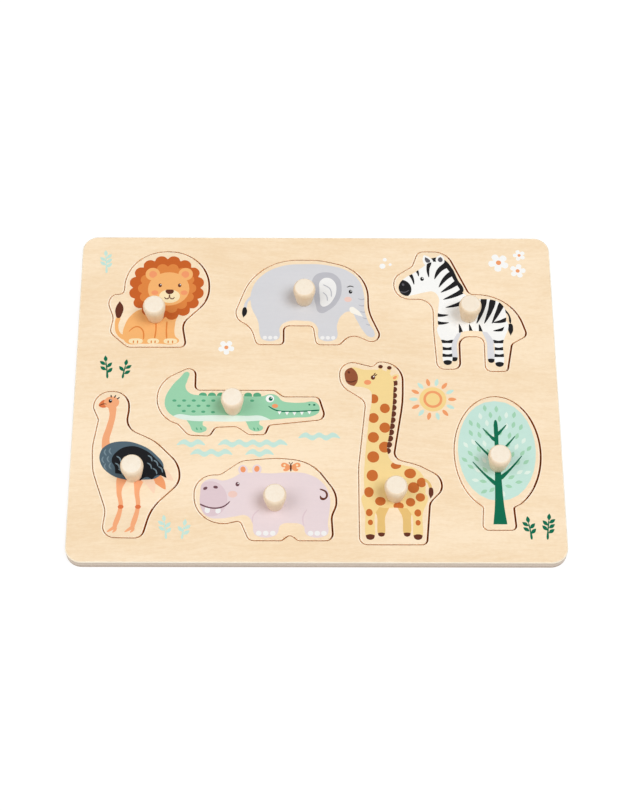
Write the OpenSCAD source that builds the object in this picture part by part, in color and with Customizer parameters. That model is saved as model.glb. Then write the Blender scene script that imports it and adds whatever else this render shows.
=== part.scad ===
// Wooden peg puzzle: a plywood sheet with eight cut-out figures, glued on a backing board.
// Each figure is cut from the sheet itself, lies flush in its own cut-out and is lifted by a turned peg.
// Millimetres, +Z up, +Y towards the back. Origin at the centre of the underside.

/* [Board] */
// Width of the board, left to right
board_w = 300; // [290:1:400]
// Depth of the board, front to back
board_d = 225; // [216:1:320]
// Radius of the board's four corners
corner_r = 10; // [3:0.5:25]
// Thickness of the sheet that the figures are cut from
sheet_t = 5; // [3:0.5:10]
// Thickness of the backing board
backing_t = 3; // [2:0.5:8]
// Easing of the board's upper and lower outer edges
edge_ease = 0.5; // [0.2:0.1:1]

/* [Cut] */
// Width of the cut between each figure and the sheet
kerf = 0.45; // [0.4:0.05:1.4]
// How far the loose figures have settled to the right and to the back in their cut-outs
settle = [-0.15, 0.05]; // [-0.35:0.05:0.35]

/* [Pegs] */
// Height of a peg above its figure
peg_h = 16; // [12:0.5:28]
// Widest diameter of a peg, a little below its top
peg_head_d = 14; // [11:0.5:18]
// How far the rounded shoulder around a peg's top reaches inwards
peg_head_round = 1.5; // [0.5:0.1:3]
// How far the rounded shoulder around a peg's top reaches down
peg_head_drop = 3.5; // [1:0.1:6]
// Diameter of a peg's foot, where it meets the figure
peg_foot_d = 10.2; // [7.5:0.1:11]
// Diameter of the hole that takes a peg's tenon
peg_hole_d = 6; // [4:0.1:7]
// Room for glue all round a tenon
tenon_gap = 0.05; // [0.02:0.01:0.2]
// How far a tenon stops short of its figure's underside
tenon_short = 0.3; // [0.1:0.1:1]
// Chamfer at a tenon's end
tenon_chamfer = 0.5; // [0.2:0.1:1]

/* [Places of the pegs on the cutting plan] */
// Lion, from the left and the back edge
lion_in = [48.5, 58.5]; // [35:0.5:70]
// Elephant, right of the middle and from the back edge
elephant_in = [-7.5, 46]; // [-12:0.5:60]
// Zebra, from the right and the back edge
zebra_in = [53.5, 57.5]; // [45:0.5:65]
// Crocodile, right of the middle and behind it
crocodile_in = [-51.5, -10.5]; // [-55:0.5:-8]
// Ostrich, from the left and the front edge
ostrich_in = [39, 57]; // [33:0.5:65]
// Hippo, right of the middle and from the front edge
hippo_in = [-25, 38]; // [-30:0.5:42]
// Giraffe, right of the middle and from the front edge
giraffe_in = [47.5, 43.5]; // [38:0.5:52]
// Tree, from the right and the front edge
tree_in = [39.5, 64]; // [33:0.5:70]

/* [Hidden] */
// Largest turn between two points of a rounded corner, in degrees
arc_step = 6;
left = -board_w / 2;
right = board_w / 2;
front = -board_d / 2;
back = board_d / 2;
board_t = backing_t + sheet_t;

// Width and depth of the board that the cutting plan is drawn for. The plan fills the board, so
// the figures' outlines and places stretch with it, while the cut and the pegs keep their sizes.
plan = [300, 225];
stretch = [board_w / plan[0], board_d / plan[1]];
function on_board(p) = [p[0] * stretch[0], p[1] * stretch[1]];

lion_at = [left, back] + on_board([lion_in[0], -lion_in[1]]);
elephant_at = [0, back] + on_board([elephant_in[0], -elephant_in[1]]);
zebra_at = [right, back] + on_board([-zebra_in[0], -zebra_in[1]]);
crocodile_at = on_board(crocodile_in);
ostrich_at = [left, front] + on_board(ostrich_in);
hippo_at = [0, front] + on_board(hippo_in);
giraffe_at = [0, front] + on_board(giraffe_in);
tree_at = [right, front] + on_board([-tree_in[0], tree_in[1]]);

// Cutting lines, clockwise and measured from the peg: each corner is [x, y, radius], and stands
// where the two straight stretches beside it would meet.
lion_cut = [
    [-20, 47.5, 26], [33.5, 47.5, 26],           // mane
    [33.5, 12, 20], [17, -5, 9.5],               // chest
    [20, -22, 3.5], [-17, -22, 5],               // feet
    [-28.5, -11.5, 6], [-26.5, -1, 10],          // rump
    [-30.5, 9.5, 8], [-28, 16, 5], [-20.5, 16, 3.5] // tail
];
elephant_cut = [
    [-30, 29, 36], [9.5, 29, 45], [40.5, 21, 25], // back and head
    [40.5, -8.5, 30], [52, -35.5, 5],            // trunk
    [29.5, -24.5, 8], [22, -32.5, 4],            // under the trunk
    [7.5, -32.5, 3.5], [5.5, -19, 3],            // front leg
    [-13, -19, 3.5], [-13, -32.5, 3],            // belly
    [-30, -32.5, 3.5], [-33.5, -20, 14], [-45, -13, 8] // hind leg and tail
];
zebra_cut = [
    [-47, 12, 10], [-47, 28, 9],                 // muzzle
    [-35, 36, 5], [-31, 47, 5], [-13, 47, 12.5], // ears
    [1, 15.5, 4.5], [27.5, 15.5, 29.5],          // mane and back
    [36.5, -14, 4], [26.5, -20, 4],              // tail
    [23, -39.5, 3], [9, -39.5, 4],               // hind leg
    [9, -15, 5], [-6.5, -15, 6],                 // belly
    [-6.5, -38, 4.5], [-21, -38, 5], [-22.5, -11, 30], // front leg
    [-22.5, 12, 9.5]                             // throat
];
crocodile_cut = [
    [-23.5, 30.5, 4.5], [-23.5, 12.5, 3],        // tip of the tail
    [25.5, 12.5, 4], [31, 8, 4],                 // brow
    [53, 8, 4], [57.5, -7.5, 4.5],               // snout
    [22.5, -11.5, 2.5], [20, -18, 3], [10, -18, 4], // front foot
    [2.5, -12.5, 5], [-10.5, -13, 3.5],          // belly
    [-14, -19, 3], [-27, -18.5, 6], [-33.5, -11, 4], // hind foot
    [-47, -5.5, 18], [-47, 18, 18]               // bend of the tail
];
ostrich_cut = [
    [-26.5, 56.5, 10.5], [-4.5, 56.5, 10.5],     // head
    [-4.5, 43, 8], [-6, 31.5, 10],               // neck
    [12.5, 22.5, 30], [28, 6.5, 18],             // back
    [28, -5.5, 11], [11.5, -22, 30],             // tail
    [6.5, -41.5, 6], [-18, -41, 7.5],            // feet
    [-16, -23.5, 15], [-25, 2.5, 30], [-26, 18.5, 40], // breast
    [-23, 37, 4], [-26.5, 45, 4]                 // throat
];
hippo_cut = [
    [-49, 19, 12], [-33.5, 19, 6],               // muzzle
    [-20.5, 28.5, 12], [3, 30.5, 60], [22.5, 27.5, 25], // back
    [37, 7, 16], [37, -1, 10], [34, -8.5, 10],   // rump
    [35, -24, 4.5], [14, -24, 3],                // hind foot
    [9, -20, 3], [4, -24, 3], [-15.5, -24, 4.5], // front foot
    [-21, -11, 3], [-29, -13, 6], [-49, -13, 18] // chin
];
giraffe_cut = [
    [-33, 90.5, 8], [-23.5, 90.5, 6],            // muzzle
    [-12.5, 87.5, 3], [-9, 91, 4], [6.5, 91, 13], // brow and horns
    [6, 63, 80], [-0.5, 24.5, 5.5],              // neck
    [14, 20.5, 30], [28.5, 12.5, 10],            // back
    [28.5, 3.5, 7.5], [21, -4.5, 8],             // tail
    [18.5, -32, 3.5], [-22, -32, 5],             // feet
    [-22, 18.5, 60], [-17, 63.5, 7], [-33, 74.5, 12] // breast and throat
];

// The tree's crown is an ellipse, open below where it runs into the foot of the trunk
crown_c = [0, 8];
crown_rx = 26.5;
crown_ry = 38.5;
crown_open = 56;
crown_steps = 60;
trunk_foot = [[8.5, -28, 2], [9.5, -43, 3], [-11, -43, 3.5], [-10, -28, 2]];
tree_cut = concat(
    [for (i = [0 : crown_steps])
        let (a = 270 - crown_open / 2 - i * (360 - crown_open) / crown_steps)
        [crown_c[0] + crown_rx * cos(a), crown_c[1] + crown_ry * sin(a), 0]],
    trunk_foot
);

// Every cut-out of the sheet: its cutting line and its place
cuts = [
    [lion_cut, lion_at], [elephant_cut, elephant_at], [zebra_cut, zebra_at],
    [crocodile_cut, crocodile_at], [ostrich_cut, ostrich_at], [hippo_cut, hippo_at],
    [giraffe_cut, giraffe_at], [tree_cut, tree_at]
];

function unit(v) = v / norm(v);
function flat(p) = [p[0], p[1]];

// One corner p between its neighbours a and b, as points of an arc that is tangent to both sides
function rounded(a, p, b) =
    p[2] == 0 ? [flat(p)] :
    let (
        u = unit(flat(a) - flat(p)),
        v = unit(flat(b) - flat(p)),
        half = acos(u * v) / 2,
        centre = flat(p) + unit(u + v) * p[2] / sin(half),
        start = flat(p) + u * p[2] / tan(half) - centre,
        turn = 180 - 2 * half,
        way = u[0] * v[1] - u[1] * v[0] < 0 ? 1 : -1,
        from = atan2(start[1], start[0]),
        steps = ceil(turn / arc_step)
    )
    [for (i = [0 : steps])
        let (a = from + way * turn * i / steps)
        centre + p[2] * [cos(a), sin(a)]];

// A whole cutting line as points on the board
function outline(cut) =
    let (n = len(cut))
    [for (i = [0 : n - 1])
        for (p = rounded(cut[(i + n - 1) % n], cut[i], cut[(i + 1) % n])) on_board(p)];

// The same line moved outwards by d all round, or inwards where d is negative
function grown(line, d) =
    let (n = len(line))
    [for (i = [0 : n - 1])
        let (
            u = unit(line[i] - line[(i + n - 1) % n]),
            v = unit(line[(i + 1) % n] - line[i]),
            out = unit([-u[1] - v[1], u[0] + v[0]])
        )
        line[i] + out * d / (out * [-u[1], u[0]])];

// Section of a slab's rim, from x = 0 out to reach, eased at the top and the bottom
function rim(reach, t, top, bottom) =
    [[0, 0], [reach - bottom, 0], [reach, bottom], [reach, t - top], [reach - top, t], [0, t]];

// A slab of the board's outline, made of a middle, two side strips and four round corners
module slab(t, top, bottom) {
    in_w = board_w / 2 - corner_r;
    in_d = board_d / 2 - corner_r;
    for (turn = [0, 180]) rotate(turn) {
        translate([-in_w, 0, 0]) rotate([90, 0, 90]) linear_extrude(2 * in_w)
            polygon(rim(board_d / 2, t, top, bottom));
        translate([in_w, in_d, 0]) rotate([90, 0, 0]) linear_extrude(2 * in_d)
            polygon(rim(corner_r, t, top, bottom));
        for (side = [0, 1]) mirror([0, side, 0]) translate([in_w, in_d, 0])
            rotate_extrude(angle = 90, $fn = 96) polygon(rim(corner_r, t, top, bottom));
    }
}

// A loose figure: the part of the sheet inside its cutting line, drilled for its peg
module figure(cut, at) {
    translate([at[0] + settle[0], at[1] + settle[1], backing_t]) difference() {
        linear_extrude(sheet_t) polygon(grown(outline(cut), -kerf / 2));
        translate([0, 0, -1]) cylinder(h = sheet_t + 2, d = peg_hole_d, $fn = 64);
    }
}

// A turned peg: a cone that widens to a head with a rounded shoulder, and a tenon below its foot
module peg(at) {
    foot = [peg_foot_d / 2, 0];
    round_c = [peg_head_d / 2 - peg_head_round, peg_h - peg_head_drop];
    // The shoulder is part of an ellipse. Drawn to a scale where that is a circle of radius 1,
    // the cone's side runs from the foot to where it touches the circle.
    foot_in_circle = [(foot[0] - round_c[0]) / peg_head_round, (foot[1] - round_c[1]) / peg_head_drop];
    round_from = atan2(foot_in_circle[1], foot_in_circle[0]) + acos(1 / norm(foot_in_circle));
    round_steps = ceil((90 - round_from) / arc_step);
    tenon_r = peg_hole_d / 2 - tenon_gap;
    tenon_end = tenon_short - sheet_t;
    translate([at[0] + settle[0], at[1] + settle[1], board_t]) rotate_extrude($fn = 96) polygon(concat(
        [[0, tenon_end], [tenon_r - tenon_chamfer, tenon_end], [tenon_r, tenon_end + tenon_chamfer],
         [tenon_r, 0], foot],
        [for (i = [0 : round_steps])
            let (a = round_from + i * (90 - round_from) / round_steps)
            round_c + [peg_head_round * cos(a), peg_head_drop * sin(a)]],
        [[0, peg_h]]
    ));
}

module frame() {
    color("wheat") difference() {
        translate([0, 0, backing_t]) slab(sheet_t, edge_ease, 0);
        for (c = cuts) translate([c[1][0], c[1][1], backing_t - 1])
            linear_extrude(sheet_t + 2) polygon(grown(outline(c[0]), kerf / 2));
    }
}

module backing_board() {
    color("burlywood") slab(backing_t, 0, edge_ease);
}

module lion_piece() { color("sandybrown") figure(lion_cut, lion_at); }
module lion_peg() { color("antiquewhite") peg(lion_at); }
module elephant_piece() { color("lightgray") figure(elephant_cut, elephant_at); }
module elephant_peg() { color("antiquewhite") peg(elephant_at); }
module zebra_piece() { color("whitesmoke") figure(zebra_cut, zebra_at); }
module zebra_peg() { color("antiquewhite") peg(zebra_at); }
module crocodile_piece() { color("mediumaquamarine") figure(crocodile_cut, crocodile_at); }
module crocodile_peg() { color("antiquewhite") peg(crocodile_at); }
module ostrich_piece() { color("slategray") figure(ostrich_cut, ostrich_at); }
module ostrich_peg() { color("antiquewhite") peg(ostrich_at); }
module hippo_piece() { color("thistle") figure(hippo_cut, hippo_at); }
module hippo_peg() { color("antiquewhite") peg(hippo_at); }
module giraffe_piece() { color("khaki") figure(giraffe_cut, giraffe_at); }
module giraffe_peg() { color("antiquewhite") peg(giraffe_at); }
module tree_piece() { color("powderblue") figure(tree_cut, tree_at); }
module tree_peg() { color("antiquewhite") peg(tree_at); }

frame();
backing_board();
lion_piece();
lion_peg();
elephant_piece();
elephant_peg();
zebra_piece();
zebra_peg();
crocodile_piece();
crocodile_peg();
ostrich_piece();
ostrich_peg();
hippo_piece();
hippo_peg();
giraffe_piece();
giraffe_peg();
tree_piece();
tree_peg();
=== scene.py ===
"""Looks of a wooden peg puzzle: eight printed figures with turned pegs, in a plywood frame."""

import math

import bmesh
import bpy
from mathutils import Matrix, Vector


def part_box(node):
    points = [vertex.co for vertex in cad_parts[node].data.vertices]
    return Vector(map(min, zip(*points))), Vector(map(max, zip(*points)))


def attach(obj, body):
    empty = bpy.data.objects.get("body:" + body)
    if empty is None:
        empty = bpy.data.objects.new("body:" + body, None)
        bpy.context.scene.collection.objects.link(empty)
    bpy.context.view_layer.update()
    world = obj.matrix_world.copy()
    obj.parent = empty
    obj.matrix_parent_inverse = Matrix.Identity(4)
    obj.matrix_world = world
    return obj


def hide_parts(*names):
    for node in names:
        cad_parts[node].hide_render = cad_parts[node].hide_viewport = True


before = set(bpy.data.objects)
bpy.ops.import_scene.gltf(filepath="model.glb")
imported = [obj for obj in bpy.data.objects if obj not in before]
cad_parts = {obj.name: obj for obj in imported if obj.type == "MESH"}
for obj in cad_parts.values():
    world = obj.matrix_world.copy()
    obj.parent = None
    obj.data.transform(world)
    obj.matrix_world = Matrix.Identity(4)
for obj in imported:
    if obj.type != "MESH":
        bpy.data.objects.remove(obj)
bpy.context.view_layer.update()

# Backing board: a thin sheet of plywood, sawn to the puzzle's outline and glued under the frame.
# It is left bare, and closes the cut-outs from below, so its upper face is what a figure rests on.
MM = 0.001
coplanar = math.radians(0.5)
sharp_rim = math.radians(30)
sharp_shade = math.radians(32)


def colour(red, green, blue):
    """A colour as a screen shows it, 0 to 255, in the linear light that shaders take."""
    steps = (c / 255 for c in (red, green, blue))
    return (*(c / 12.92 if c < 0.04 else ((c + 0.055) / 1.055) ** 2.4 for c in steps), 1)


def add(tree, kind, inputs, **settings):
    """A node with its settings, and each input either set or linked to another node's output."""
    node = tree.nodes.new(kind)
    for name, value in settings.items():
        setattr(node, name, value)
    for name, value in inputs.items():
        if isinstance(value, bpy.types.NodeSocket):
            tree.links.new(value, node.inputs[name])
        else:
            node.inputs[name].default_value = value
    return node


def shader_group(name, inputs, outputs):
    """A shader group with those sockets, and its input and output nodes."""
    tree = bpy.data.node_groups.new(name, "ShaderNodeTree")
    for side, sockets in (("INPUT", inputs), ("OUTPUT", outputs)):
        for label, kind in sockets.items():
            tree.interface.new_socket(label, in_out=side, socket_type="NodeSocket" + kind)
    return tree, tree.nodes.new("NodeGroupInput").outputs, tree.nodes.new("NodeGroupOutput").inputs


def stretched_noise(tree, vector, scale, detail, distortion=0.0):
    """Noise drawn out along the grain, as a value from 0 to 1."""
    drawn = add(tree, "ShaderNodeMapping", {"Vector": vector, "Scale": scale})
    noise = add(tree, "ShaderNodeTexNoise", {
        "Vector": drawn.outputs[0], "Scale": 1.0, "Detail": detail, "Distortion": distortion,
    })
    return noise.outputs[0]


def ranged(tree, value, low, high, to_low=0.0, to_high=1.0):
    """A value spread from low..high to another range, and held inside it."""
    return add(tree, "ShaderNodeMapRange", {0: value, 1: low, 2: high, 3: to_low, 4: to_high}).outputs[0]


def reckoned(tree, kind, first, second):
    """Two values under one Math operation."""
    return add(tree, "ShaderNodeMath", {0: first, 1: second}, operation=kind).outputs[0]


def mixed(tree, factor, first, second):
    """Two colours mixed by a mask."""
    return add(tree, "ShaderNodeMix", {0: factor, 6: first, 7: second}, data_type="RGBA").outputs[2]


# Grain along X: soft bands, short lines that drift and ripple, fine fibres and pores, all of low contrast
veneer_grain, given, made = shader_group(
    "Veneer grain",
    {"Vector": "Vector", "Pale": "Color", "Dark": "Color"},
    {"Color": "Color", "Roughness": "Float", "Height": "Float"},
)
drift = ranged(veneer_grain, stretched_noise(veneer_grain, given["Vector"], (4, 6, 6), 0),
               0, 1, -15 * MM, 15 * MM)
ripples = ranged(veneer_grain, stretched_noise(veneer_grain, given["Vector"], (22, 40, 40), 1),
                 0, 1, -2.5 * MM, 2.5 * MM)
sway = reckoned(veneer_grain, "ADD", drift, ripples)
swayed = add(veneer_grain, "ShaderNodeVectorMath", {
    0: given["Vector"], 1: add(veneer_grain, "ShaderNodeCombineXYZ", {"Y": sway}).outputs[0]}).outputs[0]
broad = stretched_noise(veneer_grain, swayed, (7, 26, 26), 1)
bands = stretched_noise(veneer_grain, swayed, (18, 95, 95), 2)
lines = stretched_noise(veneer_grain, swayed, (75, 480, 480), 2)
fibres = stretched_noise(veneer_grain, swayed, (330, 1500, 1500), 2)
mottle = stretched_noise(veneer_grain, given["Vector"], (420, 420, 420), 3)
pores = ranged(veneer_grain, stretched_noise(veneer_grain, swayed, (260, 1900, 1900), 1), 0.62, 0.78)
streak = reckoned(veneer_grain, "MULTIPLY", broad, 0.28)
for part, share in ((bands, 0.2), (lines, 0.22), (fibres, 0.18), (mottle, 0.12)):
    streak = reckoned(veneer_grain, "ADD", streak, reckoned(veneer_grain, "MULTIPLY", part, share))
toned = mixed(veneer_grain, ranged(veneer_grain, streak, 0.415, 0.585), given["Pale"], given["Dark"])
poked = mixed(veneer_grain, reckoned(veneer_grain, "MULTIPLY", pores, 0.35), toned, given["Dark"])
veneer_grain.links.new(poked, made["Color"])
veneer_grain.links.new(ranged(veneer_grain, fibres, 0.3, 0.7, 0.5, 0.62), made["Roughness"])
veneer_grain.links.new(reckoned(veneer_grain, "SUBTRACT", fibres, pores), made["Height"])

# Sawn edge of plywood: plies that lie crosswise to each other, with a thin line of glue between
ply_edge, given, made = shader_group(
    "Ply edge",
    {"Vector": "Vector", "Ply": "Float", "Pale": "Color", "Dark": "Color"},
    {"Color": "Color", "Roughness": "Float", "Height": "Float"},
)
across = add(ply_edge, "ShaderNodeSeparateXYZ", {0: given["Vector"]}).outputs[2]
wavy = reckoned(ply_edge, "ADD", across, reckoned(
    ply_edge, "MULTIPLY", stretched_noise(ply_edge, given["Vector"], (60, 60, 60), 1), 0.2 * MM))
plies = reckoned(ply_edge, "DIVIDE", wavy, given["Ply"])
crosswise = reckoned(ply_edge, "MODULO", reckoned(ply_edge, "FLOOR", plies, 0.0), 2.0)
glue = ranged(ply_edge, reckoned(ply_edge, "PINGPONG", plies, 0.5), 0.0, 0.06, 1.0, 0.0)
ends = stretched_noise(ply_edge, given["Vector"], (1100, 1100, 500), 2)
shade = reckoned(ply_edge, "ADD", reckoned(ply_edge, "MULTIPLY", crosswise, 0.45),
                 reckoned(ply_edge, "MULTIPLY", ranged(ply_edge, ends, 0.35, 0.7), 0.5))
sawn = mixed(ply_edge, shade, given["Pale"], given["Dark"])
ply_edge.links.new(mixed(ply_edge, reckoned(ply_edge, "MULTIPLY", glue, 0.4), sawn, colour(150, 118, 88)),
                   made["Color"])
ply_edge.links.new(ranged(ply_edge, ends, 0.3, 0.7, 0.62, 0.8), made["Roughness"])
ply_edge.links.new(reckoned(ply_edge, "SUBTRACT", ends, glue), made["Height"])


def wood(name, group, values, relief=0.02 * MM, shine=0.3, dullness=None, shift=(0, 0, 0), turn=(0, 0, 0)):
    """A matt material whose colour, relief and, where it isn't even, roughness come from a wood group."""
    material = bpy.data.materials.new(name)
    material.use_nodes = True
    tree = material.node_tree
    shader = tree.nodes["Principled BSDF"]
    place = add(tree, "ShaderNodeTexCoord", {}).outputs["Object"]
    turned = add(tree, "ShaderNodeMapping", {"Vector": place, "Location": shift, "Rotation": turn})
    grain = add(tree, "ShaderNodeGroup", {}, node_tree=group)
    tree.links.new(turned.outputs[0], grain.inputs["Vector"])
    for label, value in values.items():
        grain.inputs[label].default_value = value
    bump = add(tree, "ShaderNodeBump", {
        "Height": grain.outputs["Height"], "Strength": 0.5, "Distance": relief})
    tree.links.new(grain.outputs["Color"], shader.inputs["Base Color"])
    tree.links.new(bump.outputs[0], shader.inputs["Normal"])
    if dullness is None:
        tree.links.new(grain.outputs["Roughness"], shader.inputs["Roughness"])
    else:
        shader.inputs["Roughness"].default_value = dullness
    shader.inputs["Specular IOR Level"].default_value = shine
    return material


def welded(node):
    """A copy of a CAD node whose triangles share their corners."""
    bm = bmesh.new()
    bm.from_mesh(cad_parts[node].data)
    bmesh.ops.remove_doubles(bm, verts=bm.verts, dist=0.001 * MM)
    return bm


def eased(node, ease):
    """A copy of a CAD node with whole faces instead of triangles, and its sharp rims eased."""
    bm = welded(node)
    bmesh.ops.dissolve_limit(bm, angle_limit=coplanar, verts=bm.verts, edges=bm.edges)
    rims = [e for e in bm.edges if e.is_manifold and e.calc_face_angle() > sharp_rim]
    bmesh.ops.bevel(bm, geom=rims, offset=ease, offset_type="OFFSET", segments=3, profile=0.5,
                    affect="EDGES", material=-1, clamp_overlap=True)
    return bm


def settled(bm, name, body, materials, node=None):
    """Makes a finished piece of a bmesh, and lets it ride on its body."""
    mesh = bpy.data.meshes.new(name)
    bm.to_mesh(mesh)
    bm.free()
    mesh.shade_smooth()
    mesh.set_sharp_from_angle(angle=sharp_shade)
    for material in materials:
        mesh.materials.append(material)
    piece = bpy.data.objects.new(name, mesh)
    bpy.context.scene.collection.objects.link(piece)
    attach(piece, body)
    if node:
        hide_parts(node)
    return piece


backing_under = wood("Bare veneer", veneer_grain, {
    "Pale": colour(247, 226, 196), "Dark": colour(236, 208, 170)}, shift=(0.31, 0.12, 0))
backing_upper = wood("Inner veneer", veneer_grain, {
    "Pale": colour(226, 192, 152), "Dark": colour(210, 172, 128)}, shift=(0.17, 0.05, 0))
backing_edge = wood("Edge of the backing", ply_edge, {
    "Ply": 1.0 * MM, "Pale": colour(220, 204, 190), "Dark": colour(206, 188, 172)}, relief=0.05 * MM)
backing = eased("backing_board", 0.15 * MM)
for face in backing.faces:
    upright = abs(face.normal.z) < 0.9
    face.material_index = 1 if upright else 2 if face.normal.z > 0 else 0
settled(backing, "backing", "board", [backing_under, backing_edge, backing_upper],
        "backing_board")

# Frame: a sheet of plywood with a pale veneer, lacquered matt. The figures are cut out of it with a
# hot narrow beam, which scorches the walls; the walls and rims at the right of each cut are painted
# darker, as painted shade. The rims are then sanded by hand, and painted paler as a painted highlight.
frame_low, frame_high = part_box("frame")
frame_corner = 10 * MM
frame_border = 1.5 * MM
rim_ease = 0.3 * MM
scorch_line = 0.15 * MM
# Width of the ring beside a cut that is painted paler: a painted highlight
highlight_ring = 0.5 * MM

# How squarely a wall stands at the right of its cut, where painted shade goes, then how level a face
# lies, from 0 upright to 1 flat, and then the places of a cut's finishes in the list of its materials
side_from, right_shade_from, deep_right_shade_from = 0.6, 0.74, 0.88
upright_level, wall_level, steep_level, flat_level = 0.2, 0.5, 0.85, 0.99
PLAIN, CUT, SHADED_CUT, TOASTED, BROWNED_SHADED, BURNT_SHADED, HIGHLIGHT, EDGE = range(8)

# Scorch of a cut: streaks that run down its wall, and painted shade: a dark tone that sets in below its rim
scorch_and_shade, given, made = shader_group(
    "Scorch and painted shade",
    {"Vector": "Vector", "Rim": "Float", "Light": "Color", "Burnt and shaded": "Color"},
    {"Color": "Color", "Height": "Float"},
)
runs = stretched_noise(scorch_and_shade, given["Vector"], (700, 700, 90), 2)
height = add(scorch_and_shade, "ShaderNodeSeparateXYZ", {0: given["Vector"]}).outputs[2]
# Painted shade: below its rim the wall darkens from 0.6 to 2.2 mm down, as in the depth of a narrow cut
deep_shade = ranged(scorch_and_shade, reckoned(scorch_and_shade, "SUBTRACT", given["Rim"], height), 0.6 * MM, 2.2 * MM)
streaks = ranged(scorch_and_shade, runs, 0.35, 0.65, 0.0, 0.4)
charred_and_shaded = mixed(scorch_and_shade, reckoned(scorch_and_shade, "MAXIMUM", deep_shade, streaks), given["Light"], given["Burnt and shaded"])
scorch_and_shade.links.new(charred_and_shaded, made["Color"])
scorch_and_shade.links.new(runs, made["Height"])


def scorched_and_shaded(name, light, burnt_and_shaded):
    """Wood browned by the cutting beam, painted darker below the rim as painted shade, with no shine left on
    it.
    """
    return wood(name, scorch_and_shade, {"Rim": frame_high.z, "Light": light, "Burnt and shaded": burnt_and_shaded},
                relief=0.05 * MM, shine=0.0, dullness=0.85)


frame_face = wood("Lacquered veneer", veneer_grain, {
    "Pale": colour(252, 230, 199), "Dark": colour(243, 216, 179)}, shift=(-0.45, 0.41, 0))
frame_edge = wood("Edge of the frame", ply_edge, {
    "Ply": 1.667 * MM, "Pale": colour(240, 226, 212), "Dark": colour(228, 211, 194)}, relief=0.05 * MM)
frame_cut = scorched_and_shaded("Scorched cut with painted shade below", colour(255, 206, 146), colour(148, 74, 36))
# The scorched wall, painted darker for the right of a cut: painted shade
shaded_cut = scorched_and_shaded("Scorched cut in painted shade at right", colour(186, 108, 58), colour(128, 58, 24))
toasted_rim = scorched_and_shaded("Toasted rim", colour(240, 188, 136), colour(208, 142, 90))
# Rims at the right of a cut, painted a darker brown: painted shade
browned_shaded_rim = scorched_and_shaded("Browned rim in painted shade at right", colour(200, 130, 74), colour(168, 96, 48))
burnt_shaded_rim = scorched_and_shaded("Burnt rim in painted shade at right", colour(172, 90, 40), colour(136, 62, 24))
# Paler veneer on the eased rims and beside them: a painted highlight
highlight_rim = wood("Rim with painted highlight", veneer_grain, {
    "Pale": colour(255, 246, 227), "Dark": colour(253, 238, 213)})


def ringed(bm, width, inner=()):
    """Marks off a ring of the upper face along each rim, or along an inner ring, and gives its faces."""
    bm.normal_update()
    upper = [face for face in bm.faces if face.normal.z > flat_level and face not in inner]
    ring = bmesh.ops.inset_region(bm, faces=upper, thickness=width, use_boundary=True, use_even_offset=True)
    bm.normal_update()
    return set(ring["faces"])


def facing_right(normal, hand):
    """How squarely a rim or wall stands at the right of a cut, where it takes painted shade; its normal
    tells it with that hand.
    """
    level = Vector((normal.x, normal.y)).length
    return hand * normal.x / level if level > 0.01 else 0.0


def rim_beside(face):
    """The sloping face of a rim that a face of the upper side borders on, if there is one."""
    return next((f for e in face.edges for f in e.link_faces if f.normal.z < flat_level), None)


def ring_finish(face, hand, scorched_faces):
    """Which finish a face of the two rings beside a cut takes: the cut's own rim tells how it faces."""
    if face not in scorched_faces:
        inner = next((f for e in face.edges for f in e.link_faces if f in scorched_faces), None)
        rim = inner and rim_beside(inner)
        # Where the cut's rim faces left or right, the outer ring is painted paler: a painted highlight
        return PLAIN if rim and abs(rim.normal.y) > abs(rim.normal.x) else HIGHLIGHT
    rim = rim_beside(face)
    rightward = facing_right(rim.normal, hand)
    # At the right of a cut the inner ring is browned darker: painted shade
    if rightward > right_shade_from:
        return BROWNED_SHADED
    behind = hand < 0 and rim.normal.y < -0.5
    return TOASTED if abs(rightward) > side_from or behind else PLAIN


def cut_finish(face, hand, scorched_faces, highlight_faces):
    """Which finish a face of a cut takes, from its wall up over its rim to the rings beside it."""
    if face in scorched_faces or face in highlight_faces:
        return ring_finish(face, hand, scorched_faces)
    level = abs(face.normal.z)
    rightward = facing_right(face.normal, hand)
    if level < wall_level:
        # Walls at the right of a cut are painted darker: painted shade
        return SHADED_CUT if rightward > right_shade_from else CUT
    # Rims at the right of a cut are painted a darker brown than elsewhere: painted shade
    if level < flat_level and rightward > deep_right_shade_from:
        return BURNT_SHADED
    if level < steep_level:
        return BROWNED_SHADED if rightward > right_shade_from else TOASTED
    # The upper part of an eased rim is painted paler: a painted highlight
    return HIGHLIGHT if level < flat_level else PLAIN


def on_outer_edge(point):
    """Whether a point of the frame lies on its outer rim, and not in a cut-out."""
    straight = Vector((max(abs(point.x) - frame_high.x + frame_corner, 0),
                       max(abs(point.y) - frame_high.y + frame_corner, 0)))
    return straight.length > frame_corner - frame_border


sheet = eased("frame", rim_ease)
sheet_scorch = ringed(sheet, scorch_line)
sheet_highlight = ringed(sheet, highlight_ring, sheet_scorch)
for face in sheet.faces:
    if on_outer_edge(face.calc_center_median()):
        level = abs(face.normal.z)
        # The eased outer rim is painted paler too: a painted highlight
        face.material_index = EDGE if level < upright_level else HIGHLIGHT if level < flat_level else PLAIN
    else:
        face.material_index = cut_finish(face, -1, sheet_scorch, sheet_highlight)
cut_finishes = [shaded_cut, toasted_rim, browned_shaded_rim, burnt_shaded_rim, highlight_rim]
settled(sheet, "frame_sheet", "board", [frame_face, frame_cut, *cut_finishes, frame_edge],
        "frame")

# Little pictures on the frame: water-based inks, screen printed on the veneer in flat colours. Each
# ink is a film a few hundredths of a millimetre thick that lets some of the grain through.
ink_sunk = 0.02 * MM
ink_film = 0.03
ink_step = 0.004
ink_over_grain = 0.97
border_reach = 5
leaf_turn = 48
half_wave = 4.2


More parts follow.
